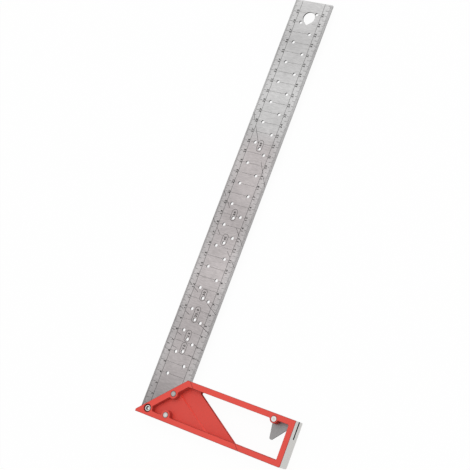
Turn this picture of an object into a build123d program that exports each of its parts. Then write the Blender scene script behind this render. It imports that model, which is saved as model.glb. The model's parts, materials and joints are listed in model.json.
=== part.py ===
"""Try and mitre square with a swing-out ledge.

The square lies flat. The origin is the inner corner, where the blade's inner edge meets the fence, at half the
thickness. +X runs along the fence to the stock's free end, +Y along the blade to its tip, and +Z is up.
"""

import os
from math import acos, cos, hypot, radians, sin, sqrt, tan

from build123d import *

os.makedirs("parts", exist_ok=True)

# Blade, in millimetres. Its length counts from the stock's outer edge to the tip.
blade_length = 401.5
blade_width = 38.0
blade_thickness = 1.5
blade_corner_radius = 0.8
tang_inset = 0.2

# Marking holes: two staggered rows at thirds of the width, and a middle row that gives angles to the fence
marking_hole_radius = 1.5
marking_hole_pitch = 20.0
marking_row_shares = (2 / 3, 1 / 3)
marking_row_starts = (0.0, marking_hole_pitch / 2)
marking_row_margin = 8.0
marking_angles = (10, 15, 22.5, 30, 45, 50, 60)

# Hang hole: a round hole drawn out to a point towards the stock
hang_hole_radius = 5.8
hang_hole_point = 7.6
hang_hole_from_tip = 15.8

# Stock: its length counts from the blade's outer edge to the free end, its width from the outer edge to the fence.
# The mitre ends in a small flat, flush with the blade's outer edge.
stock_length = 143.0
stock_width = 40.0
stock_thickness = 17.0
point_flat = 2.0
end_corner_radius = 1.5
edge_chamfer = 0.3

# Rim and rails round the recesses of the stock
mitre_rim = 5.5
outer_rail = 4.8
fence_rail = 5.1
end_bar = 5.0
rail_step = 0.4
fence_step_lead = 2.2
outer_step_x = 66.0
cast_radius = 1.2

# Web between the rails, and the thicker pad that the blade is let into. The web's slanting edge starts this far from
# the mitre's end at the fence. The pad's edge slants alike and slopes down to the web, and its foot starts this far
# from the upper rivet.
web_thickness = 4.0
web_slope = 32.3
web_edge_lead = 10.2
web_corner_radius = 1.0
pad_thickness = 7.0
pad_edge_lead = 10.2

# Blade fasteners. The upper rivet stands back from the mitre's end at the fence and from the blade's inner edge, and
# the lower one lies at a share of the way from that edge to the screw.
fastener_setback = 6.0
screw_mitre_setback = 4.7
rivet_mitre_setback = 4.5
rivet_inset = 8.6
lower_rivet_share = 0.314
screw_boss_radius = 4.9
rivet_boss_radius = 4.2

screw_radius = 2.0
screw_head_radius = 3.0
screw_head_height = 3.2
screw_head_sink = 0.8
screw_head_chamfer = 0.4
screw_socket_radius = 1.7
screw_socket_depth = 1.2
screw_end_gap = 0.8

rivet_radius = 2.0
rivet_head_radius = 2.2
rivet_flare_angle = 90.0

# Ledge, as discs joined by straight edges: heel at the pivot, lever tip, and the corner at the free end
pivot_from_end = 19.1
pivot_from_fence = 4.9
pivot_boss_radius = 3.5
ledge_thickness = 1.5
ledge_inset = 0.3
ledge_end_inset = 1.2
ledge_heel_radius = 3.4
ledge_tip_radius = 1.6
ledge_corner_radius = 1.2
lever_reach = 15.0
lever_lean = 0.6
ledge_rivet_head_radius = 2.3

# Fits
blade_slot_clearance = 0.05
shank_clearance = 0.05
head_clearance = 0.3
screw_head_clearance = 0.5
ledge_slot_clearance = 0.25
ledge_slot_margin = 1.4
cut_overrun = 1.0

# Places that follow from these sizes
half_thickness = stock_thickness / 2
rail_half = half_thickness - rail_step
web_half = web_thickness / 2
pad_half = pad_thickness / 2
free_end_x = stock_length - blade_width
outer_edge_y = -stock_width
blade_tip_y = blade_length - stock_width
tang_end_y = outer_edge_y + tang_inset

rail_inside_y = outer_edge_y + outer_rail
fence_inside_y = -fence_rail
bar_inside_x = free_end_x - end_bar
mitre_top_x = stock_width - blade_width - point_flat
rim_inside_x = mitre_top_x + mitre_rim * sqrt(2)
fence_step_x = mitre_top_x + fence_step_lead
web_edge_x = mitre_top_x + web_edge_lead

lower_row_y = outer_edge_y + fastener_setback
screw_place = (mitre_top_x + lower_row_y + screw_mitre_setback * sqrt(2), lower_row_y)
lower_rivet_place = (screw_place[0] * lower_rivet_share, lower_row_y)
upper_rivet_x = min(mitre_top_x, 0) - rivet_inset
upper_rivet_place = (upper_rivet_x, upper_rivet_x - mitre_top_x - rivet_mitre_setback * sqrt(2))
pivot_place = (free_end_x - pivot_from_end, -pivot_from_fence)

# Each rivet's place, the radius of its flared ends and the height of the face that they are flush with
rivets = {
    "upper_blade_rivet": (upper_rivet_place, rivet_head_radius, half_thickness),
    "lower_blade_rivet": (lower_rivet_place, rivet_head_radius, half_thickness),
    "ledge_rivet": (pivot_place, ledge_rivet_head_radius, rail_half),
}

screw_top = half_thickness - screw_head_sink
screw_seat = screw_top - screw_head_height

# The ledge's corner lies just inside the fence and further inside the free end, and its lever sweeps into the end bar
ledge_corner_place = (
    pivot_from_end - ledge_end_inset - ledge_corner_radius,
    pivot_from_fence - ledge_inset - ledge_corner_radius,
)
lever_sweep = hypot(lever_reach, lever_lean) + ledge_tip_radius
bar_share = min((pivot_from_end - end_bar) / lever_sweep, 1)
ledge_slot_drop = lever_sweep * sin(acos(bar_share)) + ledge_slot_margin
ledge_slot_back = pivot_from_fence - ledge_inset + ledge_slot_margin


def web_line_x(start_x, start_y, y):
    """The x at height y on a line through the start that falls towards the free end at the web's slope."""
    return start_x + (start_y - y) / tan(radians(web_slope))


# Stock

with BuildPart() as head_blank:
    # The head's rim stands a little above the rails of the window frame, with steps square to the mitre
    with BuildSketch():
        with BuildLine():
            Polyline(
                (-blade_width, outer_edge_y),
                (outer_step_x, outer_edge_y),
                (outer_step_x - outer_rail - cut_overrun, rail_inside_y + cut_overrun),
                (fence_step_x + fence_rail + cut_overrun, fence_inside_y - cut_overrun),
                (fence_step_x, 0),
                (mitre_top_x, 0),
                (-blade_width, outer_edge_y + point_flat),
                close=True,
            )
        make_face()
    extrude(amount=half_thickness, both=True)
    chamfer(head_blank.edges().group_by(Axis.Z)[-1] + head_blank.edges().group_by(Axis.Z)[0], edge_chamfer)

with BuildSketch() as pocket:
    # Inside of the rim and rails, round the bosses
    with BuildLine():
        Polyline(
            (rim_inside_x + rail_inside_y, rail_inside_y),
            (bar_inside_x, rail_inside_y),
            (bar_inside_x, fence_inside_y),
            (rim_inside_x + fence_inside_y, fence_inside_y),
            close=True,
        )
    make_face()
    with Locations(screw_place):
        Circle(screw_boss_radius, mode=Mode.SUBTRACT)
    with Locations(lower_rivet_place, upper_rivet_place):
        Circle(rivet_boss_radius, mode=Mode.SUBTRACT)
    with Locations(pivot_place):
        Circle(pivot_boss_radius, mode=Mode.SUBTRACT)
    fillet(pocket.vertices(), cast_radius)

with BuildSketch() as window:
    # The part of the pocket beyond the web's slanting edge goes right through
    add(pocket.sketch)
    with BuildLine():
        Polyline(
            (web_line_x(web_edge_x, fence_inside_y, 0), 0),
            (web_line_x(web_edge_x, fence_inside_y, outer_edge_y), outer_edge_y),
            (free_end_x, outer_edge_y),
            (free_end_x, 0),
            close=True,
        )
    make_face(mode=Mode.INTERSECT)
    fillet(window.vertices().sort_by(Axis.X)[0], web_corner_radius)

with BuildPart() as pad:
    with BuildSketch():
        with BuildLine():
            # The pad's corners lie under the middle of the rail and of the rim
            pad_edge_x = upper_rivet_x + pad_edge_lead
            pad_edge_y = upper_rivet_place[1]
            pad_low_y = (outer_edge_y + rail_inside_y) / 2
            pad_shift = (mitre_top_x + rim_inside_x) / 2
            pad_run = 1 / tan(radians(web_slope))
            pad_high_y = (pad_edge_x + pad_edge_y * pad_run - pad_shift) / (1 + pad_run)
            Polyline(
                (pad_low_y + pad_shift, pad_low_y),
                (web_line_x(pad_edge_x, pad_edge_y, pad_low_y), pad_low_y),
                (pad_high_y + pad_shift, pad_high_y),
                close=True,
            )
        make_face()
    extrude(amount=pad_half, both=True)

    # The slopes of both faces end inside the web
    chamfer(pad.edges().filter_by(Axis((0, 0, 0), (pad_run, -1, 0))), pad_half - web_half / 2)

with BuildPart() as stock:
    with BuildSketch() as stock_outline:
        with BuildLine():
            Polyline(
                (-blade_width, outer_edge_y),
                (free_end_x, outer_edge_y),
                (free_end_x, 0),
                (mitre_top_x, 0),
                (-blade_width, outer_edge_y + point_flat),
                close=True,
            )
        make_face()
        fillet(stock_outline.vertices().group_by(Axis.X)[-1].sort_by(Axis.Y)[0], end_corner_radius)
    extrude(amount=rail_half, both=True)
    chamfer(stock.edges().group_by(Axis.Z)[-1] + stock.edges().group_by(Axis.Z)[0], edge_chamfer)
    add(head_blank.part)

    # Both faces are hollowed down to the web, and the pad is left standing higher
    for side in (1, -1):
        with BuildSketch(Plane.XY.offset(side * web_half)):
            add(pocket.sketch)
        extrude(amount=side * (half_thickness - web_half + cut_overrun), mode=Mode.SUBTRACT)
    add(pad.part)
    with BuildSketch():
        add(window.sketch)
    extrude(amount=web_half + cut_overrun, both=True, mode=Mode.SUBTRACT)

    # Slot for the blade, open at the mitre and at the outer edge
    with BuildSketch():
        with Locations((0, outer_edge_y - cut_overrun)):
            Rectangle(blade_width + cut_overrun, stock_width + 2 * cut_overrun, align=(Align.MAX, Align.MIN))
    extrude(amount=blade_thickness / 2 + blade_slot_clearance, both=True, mode=Mode.SUBTRACT)

    # Slot for the ledge, open at the fence, the free end and the window
    with BuildSketch():
        with Locations((pivot_place[0] - ledge_slot_back, pivot_place[1] - ledge_slot_drop)):
            Rectangle(
                ledge_slot_back + pivot_from_end + cut_overrun,
                ledge_slot_drop + pivot_from_fence + cut_overrun,
                align=(Align.MIN, Align.MIN),
            )
    extrude(amount=ledge_thickness / 2 + ledge_slot_clearance, both=True, mode=Mode.SUBTRACT)

    # Holes for the fasteners: countersunk on both faces for the rivets, counterbored on the upper face for the screw
    for rivet_place, head_radius, face_height in rivets.values():
        for side in (1, -1):
            with Locations(Plane((*rivet_place, side * face_height), x_dir=(1, 0, 0), z_dir=(0, 0, side))):
                CounterSinkHole(
                    rivet_radius + shank_clearance,
                    head_radius + head_clearance,
                    counter_sink_angle=rivet_flare_angle,
                )
    with Locations(Plane((*screw_place, half_thickness))):
        CounterBoreHole(
            screw_radius + shank_clearance,
            screw_head_radius + screw_head_clearance,
            half_thickness - screw_seat,
        )

stock.part.label = "stock"
export_step(stock.part, "parts/stock.step")

# Blade

with BuildPart() as blade:
    with BuildSketch() as blade_outline:
        with Locations((0, tang_end_y)):
            Rectangle(blade_width, blade_tip_y - tang_end_y, align=(Align.MAX, Align.MIN))
        fillet(blade_outline.vertices().group_by(Axis.Y)[-1], blade_corner_radius)
    extrude(amount=blade_thickness / 2, both=True)

    # Marking holes, as many as the blade is long enough for
    row_end_y = blade_tip_y - marking_row_margin
    marking_places = []
    for row_share, row_start in zip(marking_row_shares, marking_row_starts):
        row_count = int((row_end_y - row_start) // marking_hole_pitch) + 1
        row_x = -blade_width * row_share
        marking_places += [(row_x, row_start + k * marking_hole_pitch) for k in range(row_count)]

    # Each angle hole lies on a line from the far end of the fence at that angle
    centre_x = -blade_width / 2
    marking_places += [(centre_x, (free_end_x - centre_x) * tan(radians(a))) for a in marking_angles]
    with Locations(*marking_places):
        Hole(marking_hole_radius)

    # Holes for the fasteners
    with Locations(lower_rivet_place, upper_rivet_place):
        Hole(rivet_radius + shank_clearance)
    with Locations(screw_place):
        Hole(screw_radius + shank_clearance)

    # Hang hole, whose point is where two tangents to the round part meet
    tangent_angle = acos(hang_hole_radius / hang_hole_point)
    tangent_x = hang_hole_radius * sin(tangent_angle)
    tangent_y = -hang_hole_radius * cos(tangent_angle)
    with BuildSketch(Plane((centre_x, blade_tip_y - hang_hole_from_tip, 0))):
        Circle(hang_hole_radius)
        with BuildLine():
            Polyline((tangent_x, tangent_y), (0, -hang_hole_point), (-tangent_x, tangent_y), close=True)
        make_face()
    extrude(amount=blade_thickness, both=True, mode=Mode.SUBTRACT)

blade.part.label = "blade"
export_step(blade.part, "parts/blade.step")

# Ledge

with BuildPart() as ledge:
    with BuildSketch(Plane((*pivot_place, 0))):
        Circle(ledge_heel_radius)
        with Locations((lever_lean, -lever_reach)):
            Circle(ledge_tip_radius)
        with Locations(ledge_corner_place):
            Circle(ledge_corner_radius)
        make_hull()
        Circle(rivet_radius + shank_clearance, mode=Mode.SUBTRACT)
    extrude(amount=ledge_thickness / 2, both=True)

ledge.part.label = "ledge"
export_step(ledge.part, "parts/ledge.step")

# Fasteners

with BuildPart() as corner_screw:
    with BuildSketch(Plane((*screw_place, screw_seat))):
        Circle(screw_head_radius)
    extrude(amount=screw_head_height)
    chamfer(corner_screw.edges().group_by(Axis.Z)[-1], screw_head_chamfer)
    with BuildSketch(Plane((*screw_place, screw_top))):
        RegularPolygon(screw_socket_radius, 6)
    extrude(amount=-screw_socket_depth, mode=Mode.SUBTRACT)
    with BuildSketch(Plane((*screw_place, screw_seat))):
        Circle(screw_radius)
    extrude(amount=-(screw_seat + half_thickness - screw_end_gap))
    chamfer(corner_screw.edges().group_by(Axis.Z)[0], screw_head_chamfer)

corner_screw.part.label = "corner_screw"
export_step(corner_screw.part, "parts/corner_screw.step")

for rivet_name, (rivet_place, head_radius, face_height) in rivets.items():
    # Half of the profile: a shank that flares out to a flat end
    with BuildPart() as rivet:
        with BuildSketch(Plane((*rivet_place, 0), x_dir=(1, 0, 0), z_dir=(0, -1, 0))):
            with BuildLine():
                flare_height = (head_radius - rivet_radius) / tan(radians(rivet_flare_angle / 2))
                Polyline(
                    (0, 0),
                    (rivet_radius, 0),
                    (rivet_radius, face_height - flare_height),
                    (head_radius, face_height),
                    (0, face_height),
                    close=True,
                )
            make_face()
        revolve(axis=Axis((*rivet_place, 0), (0, 0, 1)))
        mirror(about=Plane.XY)
    rivet.part.label = rivet_name
    export_step(rivet.part, f"parts/{rivet_name}.step")
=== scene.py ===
"""Looks of a try and mitre square: finishes on its pieces, etched scales on its blade, and a plain studio."""

import json
from math import cos, pi, radians, sin, tan

import bmesh
import bpy
from mathutils import Matrix, Quaternion, Vector


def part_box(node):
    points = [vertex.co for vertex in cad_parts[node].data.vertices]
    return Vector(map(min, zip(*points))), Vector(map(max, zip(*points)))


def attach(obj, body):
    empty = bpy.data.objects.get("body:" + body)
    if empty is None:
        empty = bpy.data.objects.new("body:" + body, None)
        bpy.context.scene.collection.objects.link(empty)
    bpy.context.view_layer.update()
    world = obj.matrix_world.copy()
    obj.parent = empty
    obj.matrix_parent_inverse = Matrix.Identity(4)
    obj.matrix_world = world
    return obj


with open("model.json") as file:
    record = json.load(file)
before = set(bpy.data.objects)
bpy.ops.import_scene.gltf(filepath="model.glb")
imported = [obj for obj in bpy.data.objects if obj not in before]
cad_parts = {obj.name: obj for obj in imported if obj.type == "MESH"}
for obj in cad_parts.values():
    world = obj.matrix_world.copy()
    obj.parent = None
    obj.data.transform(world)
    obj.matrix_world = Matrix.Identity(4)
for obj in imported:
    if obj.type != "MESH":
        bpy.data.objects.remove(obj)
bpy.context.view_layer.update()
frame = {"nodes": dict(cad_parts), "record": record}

bl_info = {
    "name": "Try and Mitre Square",
    "version": (1, 0, 0),
    "blender": (4, 5, 0),
    "location": "3D View > Sidebar > Square",
    "description": "Finishes a try and mitre square, etches the scales on its blade and sets up a studio",
    "category": "Object",
}

MM = 0.001
CM = 10 * MM
FRONT = 1
BACK = -1
WHITE = (1.0, 1.0, 1.0, 1.0)
BLACK = (0.0, 0.0, 0.0, 1.0)

# Painted highlights and shade on the fasteners, as tones of their steel from black to full brightness, at
# distances from the axis in millimetres
HIGHLIT_MIDDLE = ((0.8, 0.82), (2.0, 0.58))
FAINT_HIGHLIT_MIDDLE = ((0.8, 0.56), (2.0, 0.42))
HIGHLIT_RIM = ((0.4, 0.75), (1.4, 0.92))
SOCKET_HIGHLIGHT_AND_SHADE = ((0.8, 1.0), (1.2, 0.15), (1.6, 0.15), (1.8, 0.8), (2.4, 0.8), (2.65, 0.10))

# Finishes: the grain of machined metal, slow waves of painted reflection and shade along the blade as length,
# phase and share of painted shade, and the distances from the blade's middle between which the tint and the
# painted shade near the stock fade
GRAIN = 0.12 * MM
SHEEN_AND_SHADE_WAVES = ((150 * MM, -2.4, 0.09), (87 * MM, 0.49, 0.13))
MIDDLE_FADE = (9 * MM, 17 * MM)
# Painted shade on the blade near the stock over this length, and painted shade towards the point
STOCK_SHADE = 0.12
STOCK_SHADE_LENGTH = 32 * MM
POINT_SHADE = 0.36

# Paint: factors on its colour for painted shade and, on slopes, a painted highlight; the shares of painted
# shade on walls, which are less on those that face the tip; the turns of a face between which corners get
# painted shade; and how far painted shade spreads round rivets and the slot
RECESS_SHADE_TONE = 0.82
WALL_SHADE_TONE = 0.35
EDGE_SHADE_TONE = 0.45
CHAMFER_SHADE_TONE = 0.5
SLOPE_HIGHLIGHT_TONE = 1.08
RIVET_SHADE_TONE = 0.2
WALL_SHADES = (0.45, 0.12)
FACING_TIP = (0.6, 0.8)
EDGE_SHADE_TURNS = (0.80, 0.985)
RIVET_SHADE_REACH = (0.2 * MM, 0.8 * MM)
MOUTH_REACH = 0.35 * MM
MOUTH_END_REACH = 0.2 * MM

# Marks: the room round them, where numbers and rings start, and the shares of the full rise that lines have
MARK_GAP = 0.5 * MM
EDGE_MARGIN = 0.2 * MM
LABEL_LEAD = 1.7 * MM
DIGIT_GAP = 0.4 * MM
RING_LEAD = 2.6 * MM
ANGLE_NUMBER_LEAD = 2.4 * MM
CROSS_LINE_RISE = 0.6
BOLD_LINE_RISE = 0.8
DIGIT_STRETCH = 1.15
DIGIT_BOLDNESS = 0.04

# Studio: the floor's grey and its glow, what metal mirrors at the dark and the bright side of the sky, the
# lamp's direction, distance and side, and the camera's aim, place and roll
FLOOR_GREY = 0.96
FLOOR_GLOW = 0.95
MIRRORED_SKY = (0.81, 1.14)
SKY_CHANGE = (0.16, 0.31)
LAMP_DIRECTION = Vector((0.0, 0.15, 0.98)).normalized()
LAMP_DISTANCE = 1.8
LAMP_SIZE = 1.6
CAMERA_AIM = Vector((-11.514, 133.634, 0.0)) * MM
CAMERA_PLACE = Vector((431.432, -7.412, 855.742)) * MM
CAMERA_ROLL = radians(-53.669)

# Places that the model gives, in metres
blade_low, blade_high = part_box("blade")
stock_low, stock_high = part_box("stock")
outer_edge_x = blade_low.x
inner_edge_x = blade_high.x
blade_centre_x = (outer_edge_x + inner_edge_x) / 2
blade_face_z = blade_high.z
blade_tip_y = blade_high.y
fence_y = stock_high.y
stock_edge_y = stock_low.y
fence_end_x = stock_high.x
slot_colours = {m["slot"]: m["base_color"] for m in frame["record"]["materials"]}
hang_hole = next(m for m in frame["record"]["mounts"] if m["name"] == "hang_hole")
hang_hole_place = Vector(hang_hole["pos_m"][:2])
hang_hole_radius = hang_hole["dims"]["r_mm"] * MM

# Facts of the model that its boxes don't give. The mitre's line is y = x. The ledge's slot has this height on
# each side of the middle and ends at its lowest vertex on the free end, whose outer corner is rounded. The
# stock's recesses lie below this height. The marking holes lie in two staggered rows, and in a row that
# gives angles.
slot_half_height = 1.0 * MM
mesh_slack = 0.05 * MM
end_corner_room = 1.3 * MM
ledge_slot_end_y = min(
    v.co.y
    for v in frame["nodes"]["stock"].data.vertices
    if v.co.x > fence_end_x - mesh_slack and abs(v.co.z) < slot_half_height + mesh_slack
)
recess_height = 6.0 * MM
marking_hole_radius = 1.5 * MM
marking_pitch = 2 * CM
marking_rows = {blade_low.x * 2 / 3: 0.0, blade_low.x / 3: marking_pitch / 2}
marking_row_end = blade_tip_y - 8 * MM
marking_angles = (10, 15, 22.5, 30, 45, 50, 60)
angle_mark_x = blade_centre_x - 0.25 * MM


def colour(name, description, default):
    """A colour property."""
    return bpy.props.FloatVectorProperty(
        name=name, description=description, subtype="COLOR", size=3, min=0.0, max=1.0, default=default
    )


def length(name, description, default):
    """A length property, in metres."""
    return bpy.props.FloatProperty(
        name=name, description=description, unit="LENGTH", min=0.0, precision=5, default=default
    )


def tick_lengths(name, description, default):
    """The lengths of the ticks at millimetres, half centimetres and centimetres."""
    return bpy.props.FloatVectorProperty(
        name=name, description=description, unit="LENGTH", size=3, min=0.0, precision=5, default=default
    )


def number(name, description, default):
    """A plain number."""
    return bpy.props.FloatProperty(name=name, description=description, min=0.0, default=default)


class SquareFinish(bpy.types.PropertyGroup):
    """Colours of the pieces."""

    paint: colour("Paint", "Red paint on the cast faces of the stock", slot_colours["stock_paint"])
    milled: colour("Milled edges", "Bare aluminium on the milled edges of the stock", (0.60, 0.59, 0.57))
    blade: colour("Blade", "Satin ground steel of the blade", (0.666, 0.661, 0.659))
    handled: colour("Handled steel", "Tint of the blade where it is held", (0.935, 0.875, 0.875))
    ledge: colour("Ledge", "Rolled steel of the ledge", slot_colours["ledge_steel"])
    rivets: colour("Rivets", "Bright steel of the rivets", slot_colours["rivet_steel"])
    screw: colour("Screw", "Plated steel of the corner screw", slot_colours["screw_steel"])
    edges: colour("Blade edges", "Ground steel of the blade's straight edges", (0.34, 0.33, 0.33))
    # Painted shade: the dark colour mixed into the blade's steel and hole walls, the ledge's edges and the
    # slots
    shaded: colour("Hole walls", "Dull steel in the blade's holes and the stock's slots", (0.10, 0.09, 0.09))
    etching: colour("Etching", "Dark oxide of the etched scales", (0.022, 0.021, 0.020))


class SquareScales(bpy.types.PropertyGroup):
    """Sizes of the etched scales."""

    outer_ticks: tick_lengths("Outer ticks", "Lengths at the outer edge", (1.9 * MM, 3.8 * MM, 4.3 * MM))
    inner_ticks: tick_lengths("Inner ticks", "Lengths at the inner edge", (2.4 * MM, 5.2 * MM, 4.2 * MM))
    outer_base: length("Outer base line", "Distance from the outer edge to its base line", 7.2 * MM)
    inner_base: length("Inner base line", "Distance from the inner edge to its base line", 7.8 * MM)
    tick_line: length("Ticks", "Width of the ticks", 0.25 * MM)
    cross_line: length("Cross lines", "Width of the lines across the blade", 0.17 * MM)
    base_line: length("Base lines", "Width of the base lines", 0.30 * MM)
    bold_line: length("Bold lines", "Width of the angle lines and the rings round angle numbers", 0.34 * MM)
    digit_height: length("Digit height", "Height of the numbers", 1.95 * MM)
    digit_pitch: length("Digit pitch", "Distance from one digit to the next", 1.95 * MM)
    angle_height: length("Angle height", "Height of the angle numbers", 2.1 * MM)
    ring_length: length("Ring length", "Length of the ring round a two-digit angle", 10.7 * MM)
    ring_width: length("Ring width", "Width of the ring round an angle", 5.2 * MM)
    ring_room: length("Ring room", "How far the angle lines stay from the blade's middle", 6.5 * MM)
    rise: length("Rise", "How far the etched marks stand above the blade's face", 0.012 * MM)


class SquareStudio(bpy.types.PropertyGroup):
    """Light and camera."""

    floor_size: length("Floor size", "Side of the floor", 6.0)
    ambient: number("Ambient", "Strength of the even light from all sides", 0.60)
    key_power: number("Key power", "Power of the large soft lamp, in watts", 14.0)
    lens: number("Lens", "Focal length of the camera, in millimetres", 84.474)


class Finish:
    """A material under construction: its surface shader, and short ways to add nodes to its tree."""

    def __init__(self, name=None, world=None):
        self.material = world or bpy.data.materials.new(name)
        self.material.use_nodes = True
        self.tree = self.material.node_tree
        if world is None:
            self.surface = self.tree.nodes["Principled BSDF"]
            self.place = self.add("ShaderNodeTexCoord").outputs["Object"]

    def add(self, kind, **settings):
        """A new node with these settings."""
        node = self.tree.nodes.new(kind)
        for key, value in settings.items():
            setattr(node, key, value)
        return node

    def plug(self, socket, value):
        """Links an output to a socket, or sets the socket to a plain value."""
        if isinstance(value, bpy.types.NodeSocket):
            self.tree.links.new(value, socket)
        else:
            socket.default_value = value

    def give(self, **values):
        """Sets sockets of the surface shader, with underscores for the spaces in their names."""
        for name, value in values.items():
            self.plug(self.surface.inputs[name.replace("_", " ")], value)

    def math(self, operation, *values):
        """One sum on numbers or outputs."""
        node = self.add("ShaderNodeMath", operation=operation)
        for socket, value in zip(node.inputs, values):
            self.plug(socket, value)
        return node.outputs[0]

    def axes(self, vector):
        """The three numbers of a vector output."""
        split = self.add("ShaderNodeSeparateXYZ")
        self.plug(split.inputs[0], vector)
        return split.outputs

    def radius(self, centre):
        """The distance from an upright axis through the centre."""
        x, y, _ = self.axes(self.place)
        across = self.math("SUBTRACT", x, centre.x)
        along = self.math("SUBTRACT", y, centre.y)
        squares = [self.math("POWER", side, 2) for side in (across, along)]
        return self.math("SQRT", self.math("ADD", *squares))

    def normal(self):
        """The direction that a face looks in."""
        return self.add("ShaderNodeNewGeometry").outputs["True Normal"]

    def upright(self):
        """1 on faces that stand upright and 0 on level ones."""
        lift = self.axes(self.normal())[2]
        return self.math("LESS_THAN", self.math("ABSOLUTE", lift), 0.5)

    def sloping(self):
        """1 on faces that slope and 0 on level or upright ones."""
        lift = self.axes(self.normal())[2]
        return self.math("COMPARE", self.math("ABSOLUTE", lift), 0.7, 0.25)

    def near(self, value, target):
        """1 where a coordinate is at its target, give or take a tenth of a millimetre."""
        return self.math("COMPARE", value, target, 0.1 * MM)

    def noise(self, size, stretch=(1, 1, 1), detail=3.0):
        """Cloudy noise whose grains have about this size, in metres, times the stretch along each axis."""
        mapping = self.add("ShaderNodeMapping")
        mapping.inputs["Scale"].default_value = [1 / (size * s) for s in stretch]
        self.plug(mapping.inputs["Vector"], self.place)
        noise = self.add("ShaderNodeTexNoise")
        noise.inputs["Scale"].default_value = 1.0
        noise.inputs["Detail"].default_value = detail
        self.plug(noise.inputs["Vector"], mapping.outputs[0])
        return noise.outputs["Fac"]

    def spread(self, value, low, high, start=0.3, end=0.7, kind="LINEAR"):
        """Maps a number from start and end, where noise mostly lies, to low and high."""
        node = self.add("ShaderNodeMapRange", interpolation_type=kind)
        for name, number in (("From Min", start), ("From Max", end), ("To Min", low), ("To Max", high)):
            node.inputs[name].default_value = number
        self.plug(node.inputs["Value"], value)
        return node.outputs[0]

    def mix(self, share, first, second, blend="MIX"):
        """A colour between two colours, or a share of another blend of them."""
        node = self.add("ShaderNodeMix", data_type="RGBA", blend_type=blend)
        self.plug(node.inputs[0], share)
        self.plug(node.inputs[6], first)
        self.plug(node.inputs[7], second)
        return node.outputs[2]

    def lerp(self, share, first, second):
        """A number between two numbers."""
        node = self.add("ShaderNodeMix", data_type="FLOAT")
        self.plug(node.inputs[0], share)
        self.plug(node.inputs[2], first)
        self.plug(node.inputs[3], second)
        return node.outputs[0]

    def bump(self, height, depth, normal=None):
        """A normal that follows a height from 0 to 1, for grooves of this depth in metres."""
        node = self.add("ShaderNodeBump")
        node.inputs["Distance"].default_value = depth
        self.plug(node.inputs["Height"], height)
        if normal is not None:
            self.plug(node.inputs["Normal"], normal)
        return node.outputs[0]


def shade(rgb, factor):
    """A colour made lighter or darker, with alpha."""
    return (*(min(c * factor, 1.0) for c in rgb), 1.0)


def steel(name, rgb, grain, stretch, roughness, patch=25 * MM, contrast=0.06):
    """Ground steel: fine lines and wider streaks along the stretched axis, and large faint patches."""
    finish = Finish(name)
    lines = finish.noise(grain, stretch, 2.0)
    streaks = finish.noise(8 * grain, [1 + s / 20 for s in stretch], 3.0)
    clouds = finish.noise(patch, (1, 1, 1), 2.0)
    both = finish.math("MULTIPLY_ADD", streaks, 0.45, finish.math("MULTIPLY", clouds, 0.25))
    both = finish.math("MULTIPLY_ADD", lines, 0.3, both)
    tone = finish.spread(both, 0.0, 1.0, 0.35, 0.65)
    finish.face_colour = finish.mix(tone, shade(rgb, 1 - contrast), shade(rgb, 1 + contrast))
    finish.give(
        Base_Color=finish.face_colour,
        Metallic=1.0,
        Roughness=finish.spread(both, roughness - 0.05, roughness + 0.05),
        Normal=finish.bump(lines, 0.004 * MM),
    )
    return finish


def blade_steel(settings):
    """Steel ground across the blade, tinted where it is held near the stock, with slow waves of painted
    reflection and shade along it, darker towards the outer edge, and painted shade near the stock, towards
    the point and on the walls of the holes.
    """
    finish = steel("blade_steel_ground_across", settings.blade, GRAIN, (60, 1, 1), 0.38, contrast=0.18)
    dark = shade(settings.shaded, 1)
    x, y, _ = finish.axes(finish.place)
    straight = finish.near(x, outer_edge_x)
    for value, target in ((x, inner_edge_x), (y, blade_tip_y), (y, blade_low.y)):
        straight = finish.math("MAXIMUM", straight, finish.near(value, target))
    # Painted shade on the walls of the holes; the straight edges keep the edges' ground steel
    walls = finish.mix(straight, shade(settings.shaded, 0.25), shade(settings.edges, 1))
    off_middle = finish.math("ABSOLUTE", finish.math("SUBTRACT", x, blade_centre_x))
    handled_start = 0.58 * blade_tip_y
    handled_end = 0.66 * blade_tip_y
    handled = finish.spread(y, 1.0, 0.0, handled_start, handled_end, "SMOOTHSTEP")
    handled = finish.math("MULTIPLY", handled, finish.spread(off_middle, 1.0, 0.5, *MIDDLE_FADE))
    face = finish.mix(handled, finish.face_colour, shade(settings.handled, 1), "MULTIPLY")
    # Slow waves of painted reflection and painted shade along the blade
    for wave_length, phase, share in SHEEN_AND_SHADE_WAVES:
        wave = finish.math("SINE", finish.math("MULTIPLY_ADD", y, 2 * pi / wave_length, phase))
        face = finish.mix(finish.spread(wave, share, 0.0, -1.0, 1.0), face, dark)
    face = finish.mix(finish.spread(x, 0.06, 0.0, outer_edge_x, inner_edge_x), face, dark)
    # Painted shade near the stock, fading towards the blade's edges, and painted shade towards the point
    near_stock = finish.spread(y, STOCK_SHADE, 0.0, fence_y, fence_y + STOCK_SHADE_LENGTH, "SMOOTHSTEP")
    near_stock = finish.math("MULTIPLY", near_stock, finish.spread(off_middle, 1.0, 0.0, *MIDDLE_FADE))
    near_point = finish.spread(y, POINT_SHADE, 0.0, stock_edge_y + 8 * MM, fence_y - 4 * MM)
    face = finish.mix(finish.math("ADD", near_stock, near_point), face, dark)
    finish.give(Base_Color=finish.mix(finish.upright(), face, walls))
    return finish.material


def ledge_steel(settings):
    """Steel rolled along the plate, with painted shade on its upright sheared edges."""
    finish = steel("ledge_steel_rolled", settings.ledge, GRAIN, (1, 40, 1), 0.45, 8 * MM, 0.1)
    finish.give(Base_Color=finish.mix(finish.upright(), finish.face_colour, shade(settings.shaded, 0.5)))
    return finish.material


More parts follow.
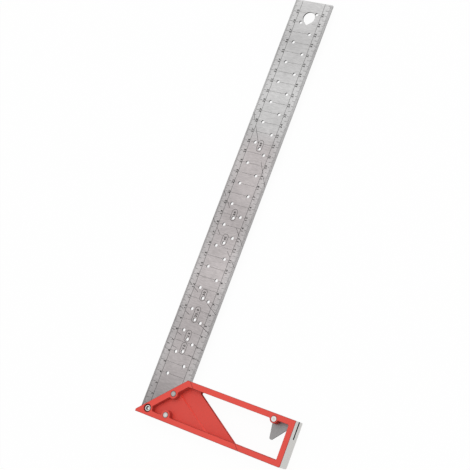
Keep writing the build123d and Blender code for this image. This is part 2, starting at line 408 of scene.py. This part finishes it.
def painted_casting(settings):
    """Red paint on the cast faces and bare milled metal on the edges, with painted shade and a painted
    highlight on the paint, and painted shade in the slots and at the mouth of the ledge's slot.
    """
    finish = Finish("stock_paint_and_milled_edges")
    x, y, z = finish.axes(finish.place)
    upright = finish.upright()

    # The milled sides are the fence, the outer edge, the free end and its corner, the point and the mitre
    side = finish.near(y, fence_y)
    for value, target in (
        (y, stock_edge_y),
        (x, fence_end_x),
        (x, outer_edge_x),
        (finish.math("SUBTRACT", y, x), 0.0),
    ):
        side = finish.math("MAXIMUM", side, finish.near(value, target))
    corner_start = fence_end_x - stock_edge_y - end_corner_room
    corner = finish.math("GREATER_THAN", finish.math("SUBTRACT", x, y), corner_start)
    edge = finish.math("MULTIPLY", finish.math("MAXIMUM", side, corner), upright)
    height_off_middle = finish.math("ABSOLUTE", z)
    low = finish.math("LESS_THAN", height_off_middle, slot_half_height + 0.1 * MM)
    slot = finish.math("MULTIPLY", finish.math("SUBTRACT", 1.0, upright), low)
    bare = finish.math("MAXIMUM", edge, slot)

    # Painted shade darkens the paint in the recesses, on upright walls, on rounded corners and on the
    # chamfers of the edges and countersinks, and a painted highlight lightens the slopes in the recesses
    clouds = finish.noise(18 * MM)
    peel = finish.noise(0.6 * MM, detail=2.0)
    paint = finish.mix(finish.spread(clouds, 0, 1), shade(settings.paint, 0.95), shade(settings.paint, 1.04))
    recess = finish.math("LESS_THAN", height_off_middle, recess_height)
    paint = finish.mix(finish.math("MULTIPLY", recess, 0.5), paint, shade(settings.paint, RECESS_SHADE_TONE))
    facing_y = finish.axes(finish.normal())[1]
    walls = finish.math("MULTIPLY", upright, finish.spread(facing_y, *WALL_SHADES, *FACING_TIP))
    paint = finish.mix(walls, paint, shade(settings.paint, WALL_SHADE_TONE))
    slopes = finish.mix(recess, shade(settings.paint, CHAMFER_SHADE_TONE), shade(settings.paint, SLOPE_HIGHLIGHT_TONE))
    paint = finish.mix(finish.sloping(), paint, slopes)
    cuts = finish.noise(GRAIN, (1, 1, 30), 2.0)
    metal = finish.mix(finish.spread(cuts, 0, 1), shade(settings.milled, 0.9), shade(settings.milled, 1.08))
    height = finish.math(
        "ADD",
        finish.math("MULTIPLY", peel, finish.math("SUBTRACT", 1.0, bare)),
        finish.math("MULTIPLY", finish.math("MULTIPLY", cuts, 0.4), bare),
    )
    softened = finish.add("ShaderNodeBevel", samples=4)
    softened.inputs["Radius"].default_value = 0.8 * MM
    flat = finish.add("ShaderNodeVectorMath", operation="DOT_PRODUCT")
    finish.plug(flat.inputs[0], softened.outputs[0])
    finish.plug(flat.inputs[1], finish.normal())
    # Painted shade on the rounded corners and edges
    edge_shade = finish.spread(flat.outputs["Value"], 0.85, 0.0, *EDGE_SHADE_TURNS)
    paint = finish.mix(edge_shade, paint, shade(settings.paint, EDGE_SHADE_TONE))

    # Painted shade lies round the rivets' heads, on the slots' faces and at the mouth of the ledge's slot
    for node in ("upper_blade_rivet", "lower_blade_rivet", "ledge_rivet"):
        head_low, head_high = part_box(node)
        head_radius = (head_high.x - head_low.x) / 2
        distance = finish.radius((head_low + head_high) / 2)
        rivet_shade = finish.spread(distance, 0.6, 0.0, *(head_radius + reach for reach in RIVET_SHADE_REACH))
        paint = finish.mix(rivet_shade, paint, shade(settings.paint, RIVET_SHADE_TONE))
    mouth = finish.math("LESS_THAN", height_off_middle, slot_half_height + MOUTH_REACH)
    mouth = finish.math("MULTIPLY", mouth, finish.near(x, fence_end_x))
    above_end = finish.math("GREATER_THAN", y, ledge_slot_end_y - MOUTH_END_REACH)
    mouth = finish.math("MULTIPLY", mouth, above_end)
    # Painted shade on the slots' faces and at the mouth of the ledge's slot
    metal = finish.mix(finish.math("MAXIMUM", slot, mouth), metal, shade(settings.shaded, 0.15))
    rough = finish.lerp(finish.math("MAXIMUM", upright, slot), finish.spread(clouds, 0.36, 0.44), 0.95)
    finish.give(
        Base_Color=finish.mix(bare, paint, metal),
        Metallic=edge,
        Roughness=finish.lerp(edge, rough, 0.34),
        Normal=finish.bump(height, 0.02 * MM, softened.outputs[0]),
    )
    return finish.material


def turned_steel(name, rgb, centre, roughness, tones):
    """Bright steel with rings round an axis, and painted highlight and shade in tones from middle to rim."""
    finish = Finish(name)
    radius = finish.radius(centre)
    rings = finish.math("SINE", finish.math("MULTIPLY", radius, 2 * pi / (0.35 * MM)))
    scuffs = finish.noise(0.9 * MM, detail=4.0)
    tone = tones[0][1]
    for (start, first), (end, second) in zip(tones, tones[1:]):
        step = finish.spread(radius, 0.0, second - first, start * MM, end * MM)
        tone = finish.math("ADD", step, tone)
    tone = finish.math("ADD", tone, finish.spread(scuffs, -0.08, 0.08))
    finish.give(
        Base_Color=finish.mix(tone, BLACK, shade(rgb, 1 / max(rgb))),
        Metallic=1.0,
        Roughness=finish.spread(scuffs, roughness - 0.06, roughness + 0.08),
        Normal=finish.bump(finish.math("MULTIPLY_ADD", rings, 0.2, scuffs), 0.006 * MM),
    )
    return finish.material


def etched_oxide(settings):
    """Dark matt oxide, a little uneven."""
    finish = Finish("etched_oxide")
    grains = finish.noise(0.5 * MM)
    dark = shade(settings.etching, 0.8)
    pale = shade(settings.etching, 1.5)
    finish.give(
        Base_Color=finish.mix(finish.spread(grains, 0, 1), dark, pale),
        Roughness=finish.spread(grains, 0.6, 0.8),
        Specular_IOR_Level=0.2,
        Normal=finish.bump(grains, 0.002 * MM),
    )
    return finish.material


def dress(node, material):
    """Gives a CAD node its material."""
    mesh = frame["nodes"][node].data
    mesh.materials.clear()
    mesh.materials.append(material)


class Marks:
    """Etched marks under construction on one face of the blade, as closed flat solids."""

    def __init__(self, side, settings):
        self.side = side
        self.settings = settings
        self.shape = bmesh.new()
        self.low = side * (blade_face_z - settings.rise)

    def top(self, share=1.0):
        """The height of a mark's face, where a share keeps marks that cross from lying in one plane."""
        return self.side * (blade_face_z + self.settings.rise * share)

    def bar(self, start, end, width, share=1.0):
        """A straight line."""
        along = (end - start).normalized()
        half = Vector((-along.y, along.x)) * width / 2
        ring = (start + half, start - half, end - half, end + half)
        bottom = [self.shape.verts.new((*p, self.low)) for p in ring]
        top = [self.shape.verts.new((*p, self.top(share))) for p in ring]
        self.shape.faces.new(bottom)
        self.shape.faces.new(top)
        for k in range(len(ring)):
            n = (k + 1) % len(ring)
            self.shape.faces.new((bottom[k], bottom[n], top[n], top[k]))

    def ring(self, start, end, radius, width, share=1.0, steps=12):
        """A line round two points, with straight sides and round ends."""
        along = (end - start).normalized()
        across = Vector((-along.y, along.x))
        loops = []
        for reach in (radius - width / 2, radius + width / 2):
            points = []
            for centre, turn in ((end, -pi / 2), (start, pi / 2)):
                for k in range(steps + 1):
                    angle = turn + pi * k / steps
                    points.append(centre + (along * cos(angle) + across * sin(angle)) * reach)
            loops += [[self.shape.verts.new((*p, z)) for p in points] for z in (self.low, self.top(share))]
        inner_low, inner_top, outer_low, outer_top = loops
        count = len(inner_low)
        for first, second in (
            (inner_low, outer_low),
            (outer_low, outer_top),
            (outer_top, inner_top),
            (inner_top, inner_low),
        ):
            for k in range(count):
                n = (k + 1) % count
                self.shape.faces.new((first[k], first[n], second[n], second[k]))

    def text(self, words, start_y, base_x, glyphs, height, pitch):
        """Digits that read along the blade, with their tops towards the outer edge on the front."""
        turned = Matrix(((0, -self.side, 0, 0), (1, 0, 0, 0), (0, 0, self.side, 0), (0, 0, 0, 1)))
        scale = Matrix.Diagonal((height, height, self.settings.rise, 1))
        for k, letter in enumerate(words):
            place = Vector((base_x, start_y + k * pitch, self.side * blade_face_z))
            first = len(self.shape.verts)
            self.shape.from_mesh(glyphs[letter])
            self.shape.verts.ensure_lookup_table()
            matrix = Matrix.Translation(place) @ turned @ scale
            bmesh.ops.transform(self.shape, matrix=matrix, verts=self.shape.verts[first:])

    def finish(self, name, material):
        """Turns the marks into a piece that rides on the square."""
        bmesh.ops.recalc_face_normals(self.shape, faces=self.shape.faces)
        mesh = bpy.data.meshes.new(name)
        self.shape.to_mesh(mesh)
        self.shape.free()
        mesh.materials.append(material)
        piece = bpy.data.objects.new(name, mesh)
        bpy.context.scene.collection.objects.link(piece)
        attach(piece, "square")


def digit_solids():
    """A closed solid for each digit and the point, one unit high and one unit above and below its plane."""
    solids = {}
    for letter in "0123456789.":
        curve = bpy.data.curves.new("digit", "FONT")
        curve.body = letter
        curve.extrude = 1.0
        curve.offset = DIGIT_BOLDNESS
        curve.resolution_u = 3
        holder = bpy.data.objects.new("digit", curve)
        bpy.context.scene.collection.objects.link(holder)
        bpy.context.view_layer.update()
        mesh = bpy.data.meshes.new_from_object(holder.evaluated_get(bpy.context.evaluated_depsgraph_get()))
        bpy.data.objects.remove(holder)
        bpy.data.curves.remove(curve)
        shape = bmesh.new()
        shape.from_mesh(mesh)
        bmesh.ops.remove_doubles(shape, verts=shape.verts, dist=1e-5)
        shape.to_mesh(mesh)
        shape.free()
        solids[letter] = mesh
    tall = max(v.co.y for v in solids["8"].vertices)
    for mesh in solids.values():
        left = min(v.co.x for v in mesh.vertices)
        scale = Matrix.Diagonal((DIGIT_STRETCH / tall, 1 / tall, 1, 1))
        mesh.transform(scale @ Matrix.Translation((-left, 0, 0)))
    return solids


def angle_hole(angle):
    """The place of the marking hole for an angle to the fence."""
    return Vector((blade_centre_x, (fence_end_x - blade_centre_x) * tan(radians(angle))))


def marking_holes():
    """The places of all marking holes."""
    places = [angle_hole(angle) for angle in marking_angles]
    for x, y in marking_rows.items():
        while y <= marking_row_end:
            places.append(Vector((x, y)))
            y += marking_pitch
    return places


def ring_ends(angle, settings):
    """The two points that the ring round an angle's hole and number goes round."""
    hole = angle_hole(angle)
    more = settings.digit_pitch * (len(f"{angle:g}") - 2)
    radius = settings.ring_width / 2
    start = hole.y - RING_LEAD + radius
    end = start + settings.ring_length + more - 2 * radius
    return Vector((angle_mark_x, start)), Vector((angle_mark_x, end))


def distance_to_run(point, start, end):
    """The distance from a point to a straight run."""
    along = end - start
    share = max(0.0, min(1.0, (point - start).dot(along) / along.length_squared))
    return (point - start - along * share).length


def clear_runs(start, end, blocked, step=0.1 * MM):
    """The stretches of a line where nothing is in the way."""
    count = max(2, int((end - start).length / step))
    points = [start.lerp(end, k / count) for k in range(count + 1)]
    runs = []
    run = []
    for point in points + [None]:
        if point is not None and not blocked(point):
            run.append(point)
        else:
            if len(run) > 3:
                runs.append((run[0], run[-1]))
            run = []
    return runs


def outer_labels():
    """The numbers of the outer scale, from the stock's outer edge, and their places along the blade."""
    return {n: stock_edge_y + n * CM for n in range(2, int((blade_tip_y - stock_edge_y) / CM))}


def inner_labels():
    """The numbers of the inner scale, from the fence, and their places along the blade."""
    return {n: n * CM for n in range(1, int(blade_tip_y / CM))}


def label_start(tick_y):
    """Where a scale number starts, a little before its tick."""
    return tick_y - LABEL_LEAD


def outer_digit_base(side, settings):
    """The line that the outer scale's digits stand on, or hang from on the back."""
    base = outer_edge_x + settings.outer_base - DIGIT_GAP
    return base if side == FRONT else base - settings.digit_height


def inner_digit_base(side, settings):
    """The line that the inner scale's digits stand on, or hang from on the back."""
    base = inner_edge_x - settings.inner_base + DIGIT_GAP
    return base + settings.digit_height if side == FRONT else base


def ray_zones(angle, settings):
    """The strips that an angle's line is drawn in, which leave out the outer numbers and the ring's room."""
    room = settings.ring_room if angle < 60 else 0.0
    return (
        (outer_edge_x + MARK_GAP / 2, outer_digit_base(FRONT, settings) - settings.digit_height - MARK_GAP),
        (outer_edge_x + settings.outer_base, blade_centre_x - room),
        (blade_centre_x + settings.ring_room, inner_edge_x - MARK_GAP / 2),
    )


def near_inner_number(point, settings):
    """True where a line would run into a number of the inner scale."""
    base = inner_digit_base(FRONT, settings)
    if not base - settings.digit_height - MARK_GAP < point.x < base + MARK_GAP:
        return False
    for n, y in inner_labels().items():
        start = label_start(y) - MARK_GAP
        if start < point.y < start + settings.digit_pitch * len(str(n)) + 2 * MARK_GAP:
            return True
    return False


def near_hole(point, settings):
    """True where a line would run into a hole or an angle's ring."""
    if any((point - hole).length < marking_hole_radius + MARK_GAP for hole in marking_holes()):
        return True
    hang_hole_point = hang_hole_place - Vector((0, 2 * MM))
    if distance_to_run(point, hang_hole_place, hang_hole_point) < hang_hole_radius + MARK_GAP:
        return True
    reach = settings.ring_width / 2 + MARK_GAP / 2
    return any(distance_to_run(point, *ring_ends(angle, settings)) < reach for angle in marking_angles)


class SQUARE_OT_paint_stock(bpy.types.Operator):
    """Paint the stock and leave its edges bare."""

    bl_idname = "square.paint_stock"
    bl_label = "Paint Stock"

    def execute(self, context):
        dress("stock", painted_casting(context.scene.square_finish))
        return {"FINISHED"}


class SQUARE_OT_finish_steel(bpy.types.Operator):
    """Give the blade and the ledge their ground steel."""

    bl_idname = "square.finish_steel"
    bl_label = "Finish Blade and Ledge"

    def execute(self, context):
        colours = context.scene.square_finish
        dress("blade", blade_steel(colours))
        dress("ledge", ledge_steel(colours))
        return {"FINISHED"}


class SQUARE_OT_finish_fasteners(bpy.types.Operator):
    """Give the rivets and the corner screw their turned steel."""

    bl_idname = "square.finish_fasteners"
    bl_label = "Finish Fasteners"

    def execute(self, context):
        colours = context.scene.square_finish
        # The tones paint highlights and shade round each fastener's axis
        for node, (rgb, tones) in {
            "upper_blade_rivet": (colours.rivets, FAINT_HIGHLIT_MIDDLE),
            "lower_blade_rivet": (colours.rivets, HIGHLIT_MIDDLE),
            "ledge_rivet": (colours.rivets, HIGHLIT_RIM),
            "corner_screw": (colours.screw, SOCKET_HIGHLIGHT_AND_SHADE),
        }.items():
            low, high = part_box(node)
            dress(node, turned_steel(f"{node}_turned_steel", rgb, (low + high) / 2, 0.32, tones))
        return {"FINISHED"}


class SQUARE_OT_etch_scales(bpy.types.Operator):
    """Etch the ticks, base lines and numbers along both edges, on both faces of the blade."""

    bl_idname = "square.etch_scales"
    bl_label = "Etch Edge Scales"

    def execute(self, context):
        settings = context.scene.square_scales
        oxide = etched_oxide(context.scene.square_finish)
        glyphs = digit_solids()
        for side, face in ((FRONT, "front"), (BACK, "back")):
            outer = Marks(side, settings)
            inner = Marks(side, settings)
            for k in range(1, int((blade_tip_y - stock_edge_y) / MM)):
                kind = 2 if k % 10 == 0 else 1 if k % 5 == 0 else 0
                y = stock_edge_y + k * MM
                reach = outer_edge_x + settings.outer_ticks[kind]
                if y > reach + EDGE_MARGIN:
                    start = Vector((outer_edge_x + EDGE_MARGIN, y))
                    outer.bar(start, Vector((reach, y)), settings.tick_line)
                if y > fence_y:
                    start = Vector((inner_edge_x - EDGE_MARGIN, y))
                    end = Vector((inner_edge_x - settings.inner_ticks[kind], y))
                    inner.bar(start, end, settings.tick_line)
            base_x = outer_edge_x + settings.outer_base
            end_y = blade_tip_y - EDGE_MARGIN
            outer.bar(Vector((base_x, base_x + EDGE_MARGIN)), Vector((base_x, end_y)), settings.base_line)
            base_x = inner_edge_x - settings.inner_base
            inner.bar(Vector((base_x, base_x + EDGE_MARGIN)), Vector((base_x, end_y)), settings.base_line)
            outer.finish(f"{face}_outer_ticks", oxide)
            inner.finish(f"{face}_inner_ticks", oxide)

            numbers = Marks(side, settings)
            for labels, base in (
                (outer_labels(), outer_digit_base(side, settings)),
                (inner_labels(), inner_digit_base(side, settings)),
            ):
                for n, y in labels.items():
                    numbers.text(
                        str(n), label_start(y), base, glyphs, settings.digit_height, settings.digit_pitch
                    )
            numbers.finish(f"{face}_numbers", oxide)
        return {"FINISHED"}


class SQUARE_OT_etch_angles(bpy.types.Operator):
    """Etch the lines across the blade, and the angle lines with their rings and numbers, on the front."""

    bl_idname = "square.etch_angles"
    bl_label = "Etch Lines and Angles"

    def execute(self, context):
        settings = context.scene.square_scales
        oxide = bpy.data.materials["etched_oxide"]
        glyphs = digit_solids()
        low_x = outer_edge_x + settings.outer_base
        high_x = inner_edge_x - settings.inner_base

        across = Marks(FRONT, settings)
        for n in range(int(blade_tip_y / CM)):
            y = n * CM
            for start, end in clear_runs(
                Vector((low_x, y)), Vector((high_x, y)), lambda p: near_hole(p, settings)
            ):
                across.bar(start, end, settings.cross_line, CROSS_LINE_RISE)
        across.finish("front_cross_lines", oxide)

        rays = Marks(FRONT, settings)
        numbers = Marks(FRONT, settings)
        for angle in marking_angles:
            slope = tan(radians(angle))
            for strip in ray_zones(angle, settings):
                ends = [Vector((x, (fence_end_x - x) * slope)) for x in strip]
                for start, end in clear_runs(
                    *ends, lambda p: near_hole(p, settings) or near_inner_number(p, settings)
                ):
                    rays.bar(start, end, settings.bold_line, BOLD_LINE_RISE)
            ends = ring_ends(angle, settings)
            rays.ring(*ends, settings.ring_width / 2, settings.bold_line, BOLD_LINE_RISE)
            start_y = angle_hole(angle).y + ANGLE_NUMBER_LEAD
            base_x = angle_mark_x + settings.angle_height / 2
            numbers.text(
                f"{angle:g}", start_y, base_x, glyphs, settings.angle_height, settings.digit_pitch
            )
        rays.finish("front_angle_lines", oxide)
        numbers.finish("front_angle_numbers", oxide)
        return {"FINISHED"}


class SQUARE_OT_set_stage(bpy.types.Operator):
    """Lay the floor, hang the lamp, light the world and place the camera."""

    bl_idname = "square.set_stage"
    bl_label = "Set Stage"

    def execute(self, context):
        settings = context.scene.square_studio
        scene = context.scene
        scene.view_settings.view_transform = "Standard"

        half = settings.floor_size / 2
        mesh = bpy.data.meshes.new("floor")
        corners = [(x * half, y * half, stock_low.z) for x, y in ((-1, -1), (1, -1), (1, 1), (-1, 1))]
        mesh.from_pydata(corners, [], [(0, 1, 2, 3)])
        floor = bpy.data.objects.new("floor", mesh)
        scene.collection.objects.link(floor)

        # The floor is pale. Seen directly or in a reflection it also glows, and is white but for shadow.
        finish = Finish("pale_floor")
        finish.give(Base_Color=shade(WHITE[:3], FLOOR_GREY), Roughness=0.9)
        glow = finish.add("ShaderNodeEmission")
        blend = finish.add("ShaderNodeMixShader")
        output = finish.tree.nodes["Material Output"]
        finish.plug(blend.inputs[0], finish.math("MULTIPLY", seen_rays(finish), FLOOR_GLOW))
        finish.plug(blend.inputs[1], finish.surface.outputs[0])
        finish.plug(blend.inputs[2], glow.outputs[0])
        finish.plug(output.inputs["Surface"], blend.outputs[0])
        mesh.materials.append(finish.material)

        # Seen directly the world is white. Metal mirrors a slow change along it, and other light is even.
        world = bpy.data.worlds.new("studio")
        world.use_nodes = True
        scene.world = world
        sky = Finish(world=world)
        path = sky.add("ShaderNodeLightPath").outputs
        along = sky.axes(sky.add("ShaderNodeTexCoord").outputs["Generated"])[1]
        mirrored = sky.spread(along, *MIRRORED_SKY, *SKY_CHANGE, "SMOOTHSTEP")
        strength = sky.lerp(path["Is Glossy Ray"], settings.ambient, mirrored)
        for seen in ("Is Camera Ray", "Is Transmission Ray"):
            strength = sky.lerp(path[seen], strength, 1.0)
        background = world.node_tree.nodes["Background"]
        background.inputs["Color"].default_value = WHITE
        sky.plug(background.inputs["Strength"], strength)

        key = bpy.data.lights.new("key_lamp", "AREA")
        key.shape = "SQUARE"
        key.size = LAMP_SIZE
        key.energy = settings.key_power
        lamp = bpy.data.objects.new("key_lamp", key)
        lamp.location = CAMERA_AIM + LAMP_DIRECTION * LAMP_DISTANCE
        lamp.visible_glossy = False
        lamp.rotation_euler = (CAMERA_AIM - lamp.location).to_track_quat("-Z", "Y").to_euler()
        scene.collection.objects.link(lamp)

        camera = bpy.data.cameras.new("camera")
        camera.sensor_width = 36.0
        camera.lens = settings.lens
        holder = bpy.data.objects.new("camera", camera)
        holder.location = CAMERA_PLACE
        holder.rotation_mode = "QUATERNION"
        look = (CAMERA_AIM - holder.location).to_track_quat("-Z", "Y")
        holder.rotation_quaternion = look @ Quaternion((0, 0, 1), CAMERA_ROLL)
        scene.collection.objects.link(holder)
        scene.camera = holder
        return {"FINISHED"}


def seen_rays(finish):
    """1 for rays from the camera, a reflection or a see-through surface, and 0 for other light."""
    path = finish.add("ShaderNodeLightPath")
    direct = finish.math("MAXIMUM", path.outputs["Is Camera Ray"], path.outputs["Is Glossy Ray"])
    return finish.math("MAXIMUM", direct, path.outputs["Is Transmission Ray"])


class SQUARE_PT_pieces(bpy.types.Panel):
    """The steps that dress the square, and their settings."""

    bl_idname = "SQUARE_PT_pieces"
    bl_label = "Try and Mitre Square"
    bl_space_type = "VIEW_3D"
    bl_region_type = "UI"
    bl_category = "Square"

    def draw(self, context):
        for operator in operators:
            self.layout.operator(operator.bl_idname)
        scene = context.scene
        for settings in (scene.square_finish, scene.square_scales, scene.square_studio):
            box = self.layout.box()
            for name in settings.bl_rna.properties.keys():
                if name not in {"rna_type", "name"}:
                    box.prop(settings, name)


operators = (
    SQUARE_OT_paint_stock,
    SQUARE_OT_finish_steel,
    SQUARE_OT_finish_fasteners,
    SQUARE_OT_etch_scales,
    SQUARE_OT_etch_angles,
    SQUARE_OT_set_stage,
)
classes = (SquareFinish, SquareScales, SquareStudio, *operators, SQUARE_PT_pieces)


def register():
    """Registers the classes and the scene's settings."""
    for item in classes:
        bpy.utils.register_class(item)
    bpy.types.Scene.square_finish = bpy.props.PointerProperty(type=SquareFinish)
    bpy.types.Scene.square_scales = bpy.props.PointerProperty(type=SquareScales)
    bpy.types.Scene.square_studio = bpy.props.PointerProperty(type=SquareStudio)


def unregister():
    """Takes back what register did."""
    del bpy.types.Scene.square_studio
    del bpy.types.Scene.square_scales
    del bpy.types.Scene.square_finish
    for item in reversed(classes):
        bpy.utils.unregister_class(item)


def main():
    """Dresses the square."""
    register()
    bpy.ops.square.paint_stock()
    bpy.ops.square.finish_steel()
    bpy.ops.square.finish_fasteners()
    bpy.ops.square.etch_scales()
    bpy.ops.square.etch_angles()
    bpy.ops.square.set_stage()


if __name__ == "__main__":
    main()
